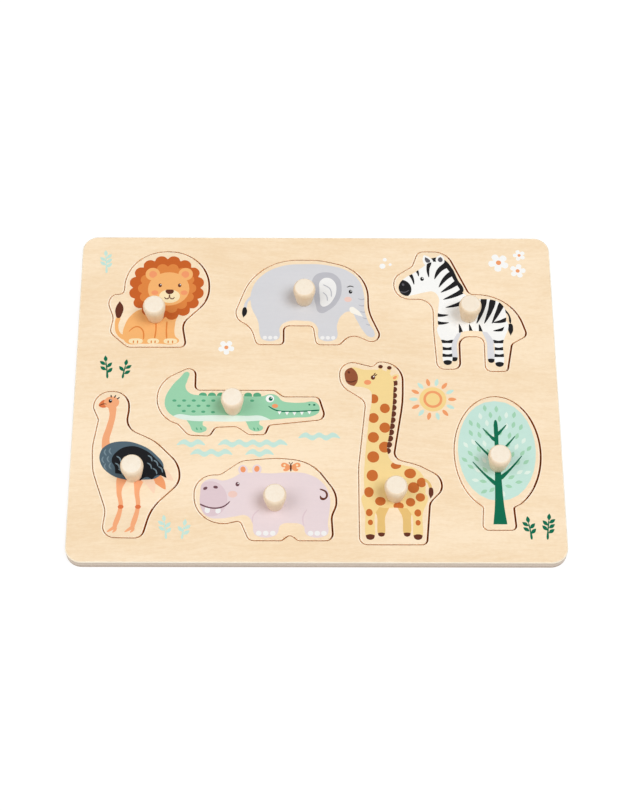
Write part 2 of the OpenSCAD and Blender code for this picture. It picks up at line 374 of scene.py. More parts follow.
def ink(name, red, green, blue):
    """A printed colour, toned a little by the grain under it."""
    pale = colour(red, green, blue)
    dark = tuple(c * ink_over_grain for c in pale[:3]) + (1,)
    return wood("Ink " + name, veneer_grain, {"Pale": pale, "Dark": dark}, relief=0.008 * MM, shine=0.1)


def step_at(turn):
    """A step of one unit, at that many degrees from the way to the right."""
    return Vector((math.cos(math.radians(turn)), math.sin(math.radians(turn))))


def oval(x, y, wide, high=None, turn=0):
    """An ellipse with those half axes, turned by degrees."""
    along = step_at(turn)
    across = Vector((-along.y, along.x))
    centre = Vector((x, y))
    high = high or wide
    return [(*(centre + side), 1) for side in (along * wide, across * high, along * -wide, across * -high)]


def blob(*points):
    """A closed outline that runs smoothly through its points, with a corner where a 0 follows x and y."""
    return [(p[0], p[1], p[2] if len(p) > 2 else 1) for p in points]


def dab(*points):
    """A brush stroke through points of x, y and half width."""
    spine = [Vector(p[:2]) for p in points]
    last = len(spine) - 1
    left, right = [], []
    for i, (spot, (_, _, half)) in enumerate(zip(spine, points)):
        way = (spine[min(i + 1, last)] - spine[max(i - 1, 0)]).normalized()
        side = Vector((-way.y, way.x)) * half
        if i == 0:
            right.append(spot - way * half)
        left.append(spot + side)
        right.append(spot - side)
        if i == last:
            left.append(spot + way * half)
    return [(*spot, 1) for spot in left + right[::-1]]


def petals(x, y, wide, high, count, deep_shade, turn=0):
    """A ring of rounded petals: an ellipse whose edge dips by a share of its size between them."""
    points = []
    for k in range(count):
        for part, reach, smooth in ((0, 1 - deep_shade, 0), (0.28, 1, 1), (0.72, 1, 1)):
            way = step_at(turn + 360 * (k + part) / count) * reach
            points.append((x + wide * way.x, y + high * way.y, smooth))
    return points


def mirrored(outline, x):
    """An outline reflected in an upright line."""
    return [(2 * x - p[0], p[1], p[2]) for p in outline]


def plates(outlines, low, high):
    """One mesh of flat plates with those outlines, in millimetres."""
    bm = bmesh.new()
    for outline in outlines:
        curve = bpy.data.curves.new("outline", "CURVE")
        curve.dimensions = "2D"
        curve.fill_mode = "BOTH"
        curve.resolution_u = 7
        curve.extrude = (high - low) / 2
        spline = curve.splines.new("BEZIER")
        spline.bezier_points.add(len(outline) - 1)
        spline.use_cyclic_u = True
        for knot, (x, y, smooth) in zip(spline.bezier_points, outline):
            knot.co = (x, y, 0)
            knot.handle_left_type = knot.handle_right_type = "AUTO" if smooth else "VECTOR"
        drawn = bpy.data.objects.new("outline", curve)
        mesh = bpy.data.meshes.new_from_object(drawn)
        bm.from_mesh(mesh)
        bpy.data.objects.remove(drawn)
        bpy.data.curves.remove(curve)
        bpy.data.meshes.remove(mesh)
    bmesh.ops.remove_doubles(bm, verts=bm.verts, dist=0.0005)
    bmesh.ops.recalc_face_normals(bm, faces=bm.faces)
    bmesh.ops.translate(bm, verts=bm.verts, vec=(0, 0, (low + high) / 2))
    mesh = bpy.data.meshes.new("plates")
    bm.to_mesh(mesh)
    bm.free()
    return mesh


def trimmed(mesh, border):
    """The part of a mesh of plates that lies inside a border's outline."""
    keeper = plates([border], -border_reach, border_reach)
    printed, edge = bpy.data.objects.new("plates", mesh), bpy.data.objects.new("border", keeper)
    for plate in (printed, edge):
        bpy.context.scene.collection.objects.link(plate)
    common = printed.modifiers.new("common", "BOOLEAN")
    common.operation = "INTERSECT"
    common.solver = "EXACT"
    common.object = edge
    graph = bpy.context.evaluated_depsgraph_get()
    kept = bpy.data.meshes.new_from_object(printed.evaluated_get(graph))
    for plate in (printed, edge):
        bpy.data.objects.remove(plate)
    bpy.data.meshes.remove(mesh)
    bpy.data.meshes.remove(keeper)
    return kept


def print_picture(name, body, place, top, films):
    """Lays films over each other: each is an ink, its outlines and perhaps a border that trims it."""
    bm = bmesh.new()
    inks = []
    for level, (colour_of, outlines, border) in enumerate(films):
        mesh = plates(outlines, 0, ink_film + level * ink_step)
        if border:
            mesh = trimmed(mesh, border)
        if colour_of not in inks:
            inks.append(colour_of)
        mesh.polygons.foreach_set("material_index", [inks.index(colour_of)] * len(mesh.polygons))
        bm.from_mesh(mesh)
        bpy.data.meshes.remove(mesh)
    bmesh.ops.transform(bm, verts=bm.verts, matrix=(
        Matrix.Translation((place.x, place.y, top - ink_sunk)) @ Matrix.Scale(MM, 4)))
    return settled(bm, name, body, inks)


def film(colour_of, *outlines, within=None):
    """One pull of one ink. Its outlines don't overlap."""
    return colour_of, outlines, within


def sprig(x, y, tall, lean, leaves):
    """The leaves of a stem, turned to its left and right by turns, with one at its tip."""
    root, tip = Vector((x, y)), Vector((lean, tall))
    upright = math.degrees(math.atan2(tall, lean))
    outlines = []
    for k in range(leaves):
        turn = upright + (0 if k == leaves - 1 else leaf_turn if k % 2 else -leaf_turn)
        way = step_at(turn)
        middle = root + tip * (0.26 + 0.62 * k / (leaves - 1)) + way * 2.7
        outlines.append(dab((*(middle - way * 2), 0.2), (*middle, 1.15), (*(middle + way * 2.2), 0.12)))
    return outlines


def stem(x, y, tall, lean):
    """The stem of a sprig, drawn thinner towards its tip."""
    return dab((x, y, 0.5), (x + lean * 0.3, y + tall * 0.4, 0.42), (x + lean * 0.9, y + tall * 0.9, 0.25))


dark_green = ink("dark green", 4, 106, 76)
mint = ink("mint", 199, 231, 220)
white = ink("white", 250, 250, 248)
yellow = ink("yellow", 248, 216, 146)
orange = ink("orange", 243, 160, 108)

sun = Vector((72, -4))
ray_count = 14
ray_from, ray_to = 10.4, 13.8
ray_ways = [step_at(360 * k / ray_count) for k in range(ray_count)]
rays = [dab((*(sun + way * ray_from), 0.95), (*(sun + way * ray_to), 0.7)) for way in ray_ways]
blossoms = ((117, 94, 6.2, 10), (129, 88, 4.8, 40), (130.5, 99.5, 3.8, 0), (-56.5, 32, 4.8, 20))
waves = ((-85.2, -34.4, 2), (-60, -34.4, 5), (-11, -29.6, 3), (-76.8, -40.8, 3), (-43.2, -40.8, 2))
green_sprigs = (
    (-130, 10.5, 12, -1.5, 5), (-120.5, 10.5, 9, 1.5, 4), (128.5, -97, 11, -1.5, 5), (138, -97, 13, 1.5, 6))
mint_sprigs = ((-134, 86, 13, -1, 6), (-90, -97, 11.5, -1.5, 5), (-80.5, -97, 8.5, 1.2, 4))


def ripple(x, y, crests):
    """A stroke of water that rises and falls."""
    return dab(*((x + half_wave * k, y + (1 if k % 2 else -1), 0.3 if k in (0, 2 * crests) else 1.7)
                 for k in range(2 * crests + 1)))


frame_middle = (frame_low + frame_high) / 2
frame_print = [
    film(orange, *rays[::2]),
    film(mint, *rays[1::2]),
    film(yellow, oval(*sun, 8.4)),
    film(orange, oval(*sun, 5.9)),
    film(yellow, oval(*sun, 4.3)),
    film(mint, *(ripple(*wave) for wave in waves)),
    film(white, *(petals(x, y, r, r, 5, 0.42, turn) for x, y, r, turn in blossoms)),
    film(orange, *(oval(x, y, r * 0.27) for x, y, r, turn in blossoms)),
    film(white, oval(44, 96, 1.3), oval(42.4, 91.2, 1.9), oval(47.4, 92.4, 1.0)),
]
for shade, sprigs in ((dark_green, green_sprigs), (mint, mint_sprigs)):
    frame_print.append(film(shade, *(stem(*s[:4]) for s in sprigs)))
    frame_print.append(film(shade, *(leaf for s in sprigs for leaf in sprig(*s))))
print_picture("frame_print", "board", frame_middle, frame_high.z, frame_print)

# Figures: cut out of the same sheet as the frame, so they are as thick and as scorched on their walls,
# with the same painted shade. Their upper rims are sanded and painted paler as a painted highlight, and
# each is drilled through for its peg.
figures = ("lion", "elephant", "zebra", "crocodile", "ostrich", "hippo", "giraffe", "tree")
before_peg = Vector((0.2, 0.8, 0)) * MM
figure_face = wood("Veneer of the figures", veneer_grain, {
    "Pale": colour(252, 231, 201), "Dark": colour(244, 219, 184)}, shift=(-0.446, 0.413, 0))
figure_cut = scorched_and_shaded("Scorched wall with painted shade below", colour(250, 194, 136), colour(142, 70, 32))
for figure in figures:
    cut_out = eased(figure + "_piece", rim_ease)
    figure_scorch = ringed(cut_out, scorch_line)
    figure_highlight = ringed(cut_out, highlight_ring, figure_scorch)
    for face in cut_out.faces:
        face.material_index = cut_finish(face, 1, figure_scorch, figure_highlight)
    settled(cut_out, figure + "_figure", figure, [figure_face, figure_cut, *cut_finishes],
            figure + "_piece")


def picture_of(figure, films):
    """Prints a figure's picture. Its millimetres are counted from a point just before the figure's peg."""
    low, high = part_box(figure + "_peg")
    place = (low + high) / 2 - before_peg
    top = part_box(figure + "_piece")[1].z
    return print_picture(figure + "_picture", figure, place, top, films)


# Lion: a seated lion in three oranges under a mane of two rings of petals. Printed on its figure
# before the figure is cut out, with a bare border of wood left all round.
burnt_orange = ink("burnt orange", 200, 98, 40)
warm_orange = ink("warm orange", 224, 134, 66)
light_orange = ink("light orange", 246, 182, 114)
cream = ink("cream", 250, 230, 186)
brown = ink("brown", 98, 50, 34)
peach = ink("peach", 243, 156, 108)
nose_line = 8.6
smile = dab((5.4, 14.6, 0.2), (6.8, 13.5, 0.36), (8.3, 14.3, 0.3))
picture_of("lion", [
    film(light_orange, dab((-17.5, -15.2, 1.3), (-22.4, -11.8, 1.2), (-24, -6, 1.1), (-23, 0.5, 1.0))),
    film(brown, blob((-23.2, -0.5), (-25.2, 3), (-25, 7.4), (-22.8, 11.8, 0), (-20.4, 7.6), (-20.8, 3))),
    film(light_orange, blob((-9, 6), (-15.6, 1), (-19, -6), (-19.8, -13), (-17.2, -18.3), (-8, -18.8),
                            (3, -18.7), (13, -18.8), (15.6, -16.8), (13, -13), (12.8, -4), (14, 6))),
    film(warm_orange, dab((-16, -10, 0.2), (-11.4, -6.6, 0.45), (-7.6, -9, 0.45), (-6.8, -15.4, 0.3)),
         dab((0.6, -3, 0.3), (0.8, -9, 0.45), (0.2, -15, 0.3)),
         dab((7.6, -3, 0.3), (7.4, -9, 0.45), (7.8, -15, 0.3))),
    film(cream, oval(-11.6, -16.9, 4.4, 1.9), oval(-0.6, -16.9, 3.7, 1.9), oval(10.2, -16.9, 4.3, 1.9)),
    film(warm_orange, *(dab((x, -16.6, 0.25), (x, -18.3, 0.25))
                        for x in (-13, -10.4, -1.8, 0.6, 8.8, 11.6))),
    film(burnt_orange, petals(6.6, 21.6, 23.6, 23.2, 16, 0.09)),
    film(warm_orange, petals(6.9, 21.2, 18.2, 17.8, 14, 0.1, 13)),
    film(light_orange, oval(-2.6, 31.6, 4.6), oval(18.4, 31.6, 4.6)),
    film(peach, oval(-2.4, 31.4, 2.5), oval(18.2, 31.4, 2.5)),
    film(light_orange, oval(7.9, 20.8, 13.2, 12.2)),
    film(cream, oval(nose_line, 15.4, 6.6, 4.8)),
    film(peach, oval(-0.8, 18, 2.2, 1.7), oval(17.8, 18, 2.2, 1.7)),
    film(brown, blob((6, 19.5), (nose_line, 20.3), (11.2, 19.5), (nose_line, 16.9)),
         dab((nose_line, 16.4, 0.3), (nose_line, 14.8, 0.3)),
         oval(2.4, 23.4, 1.1, 1.35), oval(14.8, 23.4, 1.1, 1.35)),
    film(brown, smile, mirrored(smile, nose_line)),
    film(white, oval(2.8, 23.9, 0.35), oval(15.2, 23.9, 0.35)),
])

# Elephant: a grey elephant with a large ear, a tusk and pale toenails. Printed on its figure before
# the figure is cut out, with a bare border of wood left all round.
grey = ink("grey", 216, 216, 220)
mid_grey = ink("mid grey", 190, 190, 197)
pale_grey = ink("pale grey", 243, 242, 241)
charcoal = ink("charcoal", 24, 23, 25)
ivory = ink("ivory", 252, 247, 236)
blush = ink("blush", 241, 205, 194)
elephant_shape = blob(
    (-27.2, -26.4), (-26, -28), (-16.6, -28), (-15.4, -26.4), (-15, -19), (-11, -15.4), (0, -14.6),
    (5.4, -15.6), (8.6, -19.4), (9.2, -26.4), (10.4, -28), (19.6, -28), (20.8, -26.4), (21, -17),
    (25, -9.4), (29.6, -8), (33, -13.4), (37.2, -21.6), (41.4, -26), (44.2, -25.6), (44.4, -23),
    (41, -16), (38.4, -7), (38.2, 4), (35.4, 14.2), (28.4, 21.6), (16, 25.8), (0, 26.8), (-15, 25),
    (-26.4, 18.6), (-33, 8.4), (-33.4, -4), (-29, -15))
picture_of("elephant", [
    film(grey, dab((-32, 3, 0.9), (-36, -0.6, 0.8), (-37.4, -6, 0.7))),
    film(charcoal, blob((-37.4, -4.8), (-39.2, -8), (-38.4, -12.4, 0), (-36.2, -9.4), (-36.2, -6.4))),
    film(grey, elephant_shape),
    film(mid_grey, blob((6.4, 17.6), (14, 20.8), (21.4, 17.6), (24, 9), (21.8, 0), (15.8, -6.8), (10, -8.8),
                        (7.4, -3), (6, 7)),
         *(dab((39 + 0.25 * k * k, 1.5 - 4.6 * k, 0.35), (36.4 + 0.3 * k * k, 0.9 - 4.6 * k, 0.4),
               (34.4 + 0.3 * k * k, 1.6 - 4.6 * k, 0.15)) for k in range(5)), within=elephant_shape),
    film(pale_grey, blob((10.4, 14.4), (15, 16.8), (19.4, 13.8), (20.6, 7.6), (18.6, 1), (14.2, -3.8),
                         (11.4, -4), (10.2, 2), (9.8, 8)),
         *(oval(x, -26.7, 1.35, 1.3) for x in (-24.6, -21.2, -17.8, 11.6, 15, 18.4)), within=elephant_shape),
    film(mid_grey, dab((12.4, 11.6, 0.25), (16.6, 8.6, 0.35), (17.4, 3, 0.2)),
         dab((12, 6, 0.2), (14.4, 3.4, 0.3), (14.8, 0, 0.2))),
    film(ivory, blob((29.6, -4.6), (33.8, -6.6), (37.4, -11.6, 0), (32.8, -10), (29.2, -7.8))),
    film(blush, oval(28, 1, 2.4, 1.9)),
    film(charcoal, oval(29.6, 6.6, 1.15, 1.4), dab((27.4, 9.8, 0.15), (29.4, 10.7, 0.35), (31.6, 10, 0.15))),
    film(white, oval(30, 7.1, 0.38)),
])

# Zebra: a white zebra with even charcoal stripes that follow its build. Printed on its figure before
# the figure is cut out, with a bare border of wood left all round.
shade_grey = ink("shade grey", 222, 222, 226)
slate_grey = ink("slate grey", 92, 90, 96)
zebra_body = blob(
    (-43.2, 18.6), (-43.2, 23.6), (-39.8, 28), (-34, 31.8), (-28.4, 36), (-23, 39.8), (-17.4, 39.8),
    (-12, 34.6), (-7.6, 25.4), (-0.8, 15.6), (7, 13.2), (15, 12.6), (21, 9.8), (23.8, 3), (22.8, -6),
    (19, -12), (12, -11), (6, -10.2), (-2, -10.2), (-9, -12.4), (-15, -13), (-18.6, -8), (-19.4, 0),
    (-18.6, 8), (-18.4, 14), (-21.6, 18.2), (-27, 17.8), (-34, 16), (-40, 15.4))
near_legs = [
    blob((-18.8, -6), (-17, -20), (-16.8, -32), (-15.8, -33.8),
         (-12.4, -33.8), (-11.4, -32), (-11.2, -20), (-8, -7)),
    blob((11, -6), (15.4, -18), (15.6, -33), (16.6, -35), (20, -35), (21, -33), (21, -20), (23.2, -2))]
far_legs = [
    blob((-13, -8), (-11.8, -20), (-11.7, -30), (-11, -31.4),
         (-8.6, -31.4), (-7.9, -30), (-8, -20), (-5.8, -8)),
    blob((9.4, -7), (11, -19), (11.2, -31), (12, -32.4), (14.4, -32.4), (15.2, -31), (15.2, -19), (17, -7))]
crest = ((-21.4, 41.4), (-15.6, 40.8), (-10.8, 35), (-7.2, 26), (-3.9, 19.4))
neck_stripes = [
    dab((-11, 39, 1.2), (-17.4, 34, 1.5), (-20.6, 27.6, 0.2)),
    dab((-7.6, 33, 1.2), (-13.4, 28.4, 1.5), (-18, 21.6, 0.2)),
    dab((-4, 27, 1.2), (-9.8, 22.4, 1.5), (-16.8, 17.8, 0.2)),
    dab((-0.6, 20.6, 1.2), (-6.8, 16.4, 1.5), (-15.4, 12.6, 0.2)),
    dab((2.6, 15.8, 1.1), (-4.6, 9.8, 1.5), (-14, 6.8, 0.2))]
body_stripes = [dab((5 + 5.7 * k, 15.4 - 0.5 * k * k, 1.3), (3.6 + 5.2 * k, 5.4 - 0.4 * k, 1.5),
                    (0.4 + 4.8 * k, -4.6, 0.2)) for k in range(4)]
belly_stripes = [dab((x, -12, 1.0), (x - 0.4, -8.6, 0.9), (x - 1, -5.4, 0.2)) for x in (-5, 1.4, 7.6)]
side_stripes = [dab((-21, y, 1.1), (-17, y - 0.6, 1.0), (-12.6, y - 0.2, 0.2)) for y in (1.6, -4)]
rump_stripes = [dab((25, y, 1.1), (20.4, y - 1.8, 1.1), (15.4, y - 2.6, 0.2)) for y in (-1.4, -7.4)]
cheek_stripes = [dab((-36.4, 31.6, 0.8), (-34.6, 27.6, 0.8), (-33.8, 23.6, 0.2)),
                 dab((-32.2, 34.6, 0.8), (-31, 31.6, 0.6), (-30.8, 29.8, 0.2)),
                 dab((-23.2, 40.6, 0.9), (-24.6, 35, 1.0), (-24.2, 29, 0.2))]
leg_bands = [[dab((x - 4, y, 0.9), (x, y - 0.5, 0.9), (x + 4, y, 0.9)) for y in (-17.4, -22.4, -27.2)]
             for x in (-14, 18.3)]
picture_of("zebra", [
    film(shade_grey, *far_legs),
    film(charcoal, oval(-9.8, -30.6, 3.2, 1.9), within=far_legs[0]),
    film(charcoal, oval(13.2, -31.6, 3.2, 1.9), within=far_legs[1]),
    film(charcoal, dab((22, 6, 0.5), (25.6, 1.6, 0.5), (26.4, -4, 0.5)),
         blob((26.4, -4.6), (24.8, -8.6), (26.2, -13.4, 0), (28, -8.8))),
    film(charcoal, dab(*((x, y, 1.75) for x, y in crest))),
    film(white, near_legs[0]),
    film(white, near_legs[1]),
    film(charcoal, *leg_bands[0], oval(-14.1, -33.2, 3.4, 2.4), within=near_legs[0]),
    film(charcoal, *leg_bands[1], oval(18.3, -34.4, 3.4, 2.4), within=near_legs[1]),
    film(white, blob((-25.4, 37.6), (-27.8, 41.4), (-27, 45.4, 0), (-23.2, 43.4), (-21.2, 40)),
         blob((-18.6, 39.6), (-19.2, 43), (-16.2, 45.6, 0), (-14, 42.6), (-15, 38.8))),
    film(slate_grey, blob((-25, 39.6), (-26.4, 41.8), (-26.2, 43.8, 0), (-24, 42.4), (-23, 40.6)),
         blob((-17.8, 40.8), (-17.8, 42.8), (-16.2, 44, 0), (-15, 42.2), (-15.8, 40.2))),
    film(white, zebra_body),
    film(charcoal, *neck_stripes, *body_stripes, *belly_stripes, *side_stripes, *rump_stripes,
         *cheek_stripes, within=zebra_body),
    film(charcoal, oval(-41.6, 20.4, 6, 6.6, 20), within=zebra_body),
    film(slate_grey, oval(-40.8, 23.4, 0.75, 0.95, 30),
         dab((-42.6, 18.2, 0.2), (-39.8, 17.8, 0.35), (-37.2, 19.2, 0.15))),
    film(charcoal, oval(-28.6, 27.6, 1.2, 1.45)),
    film(white, oval(-28.2, 28.1, 0.4)),
])

# Crocodile: a green crocodile with a bumpy back, small scales and a row of teeth. Printed on its
# figure before the figure is cut out, with a bare border of wood left all round.
green = ink("green", 156, 211, 175)
deep_green = ink("deep green", 92, 170, 130)
pale_mint = ink("pale mint", 226, 242, 231)
crocodile_shape = blob(
    (-28, 25.8), (-33.4, 21.4), (-38.6, 14.8), (-41.8, 7), (-40.8, 0), (-35.4, -5.2), (-27, -7.6),
    (-14, -8.2), (0, -8.4), (12, -8), (24, -7), (38, -5.6), (50, -4.2), (53.4, -1.4), (53.2, 3),
    (50, 5.4), (44, 4.8), (36, 4.8), (30.6, 6), (27.2, 9.6), (22.8, 10.6), (18.6, 9.2), (8, 9),
    (-8, 9.4), (-20, 9.6), (-26.6, 11.2), (-29.4, 15.4), (-28.4, 20))
bumps = [oval(-18.5 + 5.6 * k, 9.6, 2.5, 2.0) for k in range(7)]
scales = [oval(-36 + 6 * k + 3 * row, 6 - 3.6 * row - 0.25 * k * (row == 2), 1.25, 0.8)
          for row in range(3) for k in range(9 - row) if not 4 < k + 0.5 * row < 7.6]
feet = [blob((8.6, -4), (9.8, -11.6), (11.4, -14), (18, -14.2), (19, -12.4), (16.6, -10), (17.6, -4)),
        blob((-28, -4), (-25.6, -11.6), (-24, -14.8), (-16.6, -15), (-15.6, -13), (-18.2, -10.4), (-16, -4))]
teeth = [blob((x - 1.2, y, 0), (x + 1.2, y, 0), (x, y - 2.3, 0)) for x, y in
         ((29, -1.3), (33.6, -1.7), (38.2, -1.8), (42.8, -1.6), (47.4, -1.1))]
picture_of("crocodile", [
    film(deep_green, *bumps),
    film(green, *feet),
    film(deep_green, *(dab((x, -12.6, 0.25), (x + 0.6, -14, 0.3)) for x in (13.2, 15.6, -22, -19.4))),
    film(green, crocodile_shape),
    film(pale_mint, blob((-40, -12), (-36, -4.4), (-24, -4.4), (-8, -4), (8, -4.4), (20, -5.2), (26, -12)),
         within=crocodile_shape),
    film(deep_green, *scales),
    film(dark_green, dab((53.4, -0.4, 0.3), (46, -1.0, 0.42), (36, -1.4, 0.42), (27, -0.6, 0.42),
                         (22.2, 2.2, 0.2)), within=crocodile_shape),
    film(white, *teeth, oval(23, 7.4, 2.6, 2.5)),
    film(dark_green, oval(23.5, 7.3, 1.25, 1.45), oval(50.4, 3.2, 0.75, 0.6), oval(47.4, 3.3, 0.6, 0.5)),
    film(white, oval(23.9, 7.9, 0.4)),
    film(peach, oval(26.2, 2.4, 1.9, 1.4)),
])

# Ostrich: a slate bird with a feathered wing and a pale plume, on long peach legs. Printed on its
# figure before the figure is cut out, with a bare border of wood left all round.
slate = ink("slate", 82, 102, 114)
night = ink("night", 20, 21, 24)
apricot = ink("apricot", 245, 171, 124)
light_slate = ink("light slate", 118, 138, 148)
pale_peach = ink("pale peach", 250, 216, 188)
rust = ink("rust", 222, 118, 70)
ostrich_shape = blob(
    (-17.8, 19.8), (-8, 23), (4, 20.6), (13.4, 14), (18.4, 6), (15.4, -0.6), (6, -2.6), (-6, -2.2),
    (-15.4, 2.2), (-20.2, 8.8), (-20.6, 15.2))
legs = ((-6, -8, -6.6, -9.8), (4.4, 2.8, 3.8, 0.8))
wing_feathers = [dab((x, y, 0.2), (x + 1.9, y - 1.4, 0.42), (x + 2.6, y - 3.8, 0.2)) for x, y in (
    (8.6, 13.6), (12.2, 10.4), (15.2, 6.2), (8.4, 8.6), (11.8, 5), (-10.4, 13), (-11, 8.4), (-9, 4.4))]
breast_feathers = [dab((x, y, 0.2), (x - 0.6, y - 2, 0.45), (x + 0.6, y - 4, 0.2)) for x, y in (
    (-17.4, 17.6), (-14.4, 18.4), (-18.6, 12.6), (-15.4, 13), (-17, 8), (-14, 8.4))]
picture_of("ostrich", [
    film(apricot, *(dab((hip, 1, 2.6), (thigh, -10, 1.6), (knee, -20, 1.3), (foot, -33.4, 1.05))
                    for hip, thigh, knee, foot in legs)),
    film(apricot, *(dab((foot - 4.2, -36.6, 0.3), (foot - 1, -34.4, 1.0), (foot + 0.8, -33, 0.9))
                    for *_, foot in legs)),
    film(apricot, *(dab((foot + 0.2, -33.4, 0.9), (foot + 0.6, -35, 0.9), (foot - 0.8, -37, 0.3))
                    for *_, foot in legs)),
    film(rust, *(oval(knee, -20.4, 1.75, 1.35) for _, _, knee, _ in legs)),
    film(pale_peach, dab((10, 3, 2.2), (18, 1.6, 3.2), (24, -2.6, 0.6))),
    film(orange, dab((9, 1, 2.2), (15.6, -2.8, 3.0), (19.6, -8.4, 0.6))),
    film(pale_peach, dab((6, 0, 2.2), (11, -5, 2.6), (13, -11, 0.5))),
    film(apricot, dab((-15, 14, 2.8), (-17.6, 23, 2.3), (-15.6, 33, 2.0), (-14.2, 41, 1.9),
                      (-14.8, 48, 2.0))),
    film(rust, blob((-18, 51.2), (-23, 48.2), (-22.4, 46.6), (-17.6, 47))),
    film(apricot, oval(-15.2, 49.6, 4.7, 4.1)),
    film(night, dab((-15.6, 53.2, 0.3), (-15.8, 54.8, 0.15)), dab((-13.6, 53.0, 0.3), (-12.8, 54.6, 0.15)),
         dab((-11.8, 52, 0.3), (-10.4, 53.2, 0.15)), oval(-16, 50.6, 1.1, 1.3),
         dab((-22.6, 47.4, 0.1), (-20, 48.6, 0.25), (-18.2, 48.4, 0.1))),
    film(white, oval(-15.7, 51.1, 0.36)),
    film(slate, ostrich_shape),
    film(night, blob((-11, 15.6), (-3, 19.8), (6, 17.6), (13.4, 11.4), (18.6, 4.6), (20.4, -1.4, 0),
                     (14.6, 0.4), (11.6, -2.4, 0), (8.2, -0.8), (4.4, -3.2, 0), (0.6, -1), (-4, -2, 0),
                     (-7.4, 1), (-10.8, 1.6, 0), (-11.4, 6), (-13.4, 10))),
    film(light_slate, *wing_feathers),
    film(light_slate, *breast_feathers),
])

# Hippo: a pale pink hippo with a broad snout, and a butterfly over its back. Printed on its figure
# before the figure is cut out, with a bare border of wood left all round.
pink = ink("pink", 234, 217, 220)
deep_pink = ink("deep pink", 225, 203, 209)
plum = ink("plum", 112, 76, 84)
hippo_shape = blob(
    (-45, 8), (-43.6, 14.4), (-38, 17.2), (-31.6, 16), (-26, 17.6), (-20.4, 20.8), (-12, 21.2),
    (-2, 20.8), (10, 21.6), (21, 20), (29.4, 14), (33.2, 5.4), (33, -4), (32, -12), (32.2, -17.8),
    (30.8, -19.8), (19.8, -19.8), (18.4, -18), (17.2, -13.6), (10.4, -11.8), (3.6, -13.2), (2, -18),
    (0.6, -19.8), (-11, -19.8), (-12.4, -18), (-13.4, -11.4), (-17, -7), (-24, -7.6), (-32, -8.8),
    (-39.6, -8), (-44, -3))
wing = blob((9.2, 24.7), (7.4, 27.3), (4.2, 27.5), (4, 25.3), (6.2, 24.5), (5, 23.2), (6.6, 22.3))
picture_of("hippo", [
    film(pink, oval(-19.4, 23, 2.9, 3.4, 12), oval(-11, 23.4, 2.9, 3.4, -8)),
    film(peach, oval(-19.4, 23.4, 1.6, 2.0, 12), oval(-11, 23.8, 1.6, 2.0, -8)),
    film(pink, hippo_shape),
    film(deep_pink, oval(-38.6, 4, 10, 11.6, 8), dab((-13.2, -12, 0.2), (-12.8, -7, 0.4), (-9.6, -3.4, 0.2)),
         dab((17.6, -13.6, 0.2), (17, -8, 0.4), (19.4, -3, 0.2)), within=hippo_shape),
    film(blush, oval(-25.4, 7, 2.8, 2.2)),
    film(pale_grey, *(oval(x, -18.4, 1.7, 1.6) for x in (-9.4, -5.2, -1, 21.6, 25.6, 29.6)),
         blob((-41.6, -1.2, 0), (-38.8, -2, 0), (-39.6, -5.2), (-41.8, -4.6)),
         blob((-35.4, -2.2, 0), (-32.6, -1.8, 0), (-32.8, -5), (-35, -5.4)), within=hippo_shape),
    film(plum, dab((-45.4, 0.6, 0.3), (-38.4, -2, 0.45), (-31, -1.2, 0.45), (-27, 2.2, 0.2)),
         oval(-42, 10.8, 1.4, 0.95, 30), oval(-35.8, 11.6, 1.4, 0.95, -10), oval(-22.6, 13.6, 1.2, 1.45),
         within=hippo_shape),
    film(brown, dab((27.4, 10.4, 0.3), (31, 8.4, 0.6), (30.8, 4.6, 0.6), (28.2, 4.2, 0.8), (27.4, 6, 0.2))),
    film(white, oval(-22.2, 14.1, 0.4)),
    film(orange, wing),
    film(orange, mirrored(wing, 9.6)),
    film(cream, oval(5.8, 26.2, 0.7), oval(13.4, 26.2, 0.7)),
    film(brown, dab((9.6, 22.3, 0.25), (9.6, 24.7, 0.55), (9.6, 26.8, 0.3)),
         dab((9.4, 27, 0.15), (8.5, 28.2, 0.15)), dab((9.8, 27, 0.15), (10.7, 28.2, 0.15))),
])

# Giraffe: a yellow giraffe with broad rounded spots and a brown mane. Printed on its figure before
# the figure is cut out, with a bare border of wood left all round.
straw = ink("straw", 247, 218, 152)
deep_straw = ink("deep straw", 232, 194, 122)
spot_brown = ink("spot brown", 202, 110, 50)
chestnut = ink("chestnut", 148, 84, 54)
giraffe_shape = blob(
    (-29.4, 80.4), (-29, 85.4), (-24.8, 87.8), (-17, 86.2), (-10, 86.2), (-3.6, 85), (0.2, 80),
    (0.4, 70), (-0.8, 56), (-2.6, 42), (-4, 30), (-0.6, 22.6), (6, 20.8), (13.6, 18.2), (18, 12.4),
    (18.6, 4), (16.4, -5), (8, -7.4), (0, -7.2), (-9, -7), (-16.6, -4), (-18.4, 8), (-17.8, 24),
    (-16.2, 40), (-14.4, 56), (-13, 66), (-13.8, 71.6), (-17.6, 73.8), (-23, 74.6), (-27.6, 76.4))
front_leg = blob((-18.2, 2), (-18, -12), (-17.8, -26), (-16.8, -27.6),
                 (-13.6, -27.6), (-12.6, -26), (-12.2, -12), (-9, -3))
hind_leg = blob((6.8, -4), (10.4, -13), (10.8, -26), (11.8, -27.6),
                (15, -27.6), (16, -26), (16.4, -12), (18.4, 2))
far_pair = [blob((-12, -3), (-10.8, -14), (-10.6, -24), (-9.8, -25.6),
                 (-7.2, -25.6), (-6.4, -24), (-6.2, -14), (-4, -3)),
            blob((2, -3), (4.4, -14), (4.8, -24), (5.6, -25.6),
                 (8.2, -25.6), (9, -24), (9.4, -14), (10, -3))]


def spot(x, y, wide, high, turn=0):
    """A patch with five blunt corners."""
    ways = [step_at(72 * k + turn) for k in range(5)]
    return [(x + wide * way.x, y + high * way.y, 1) for way in ways]


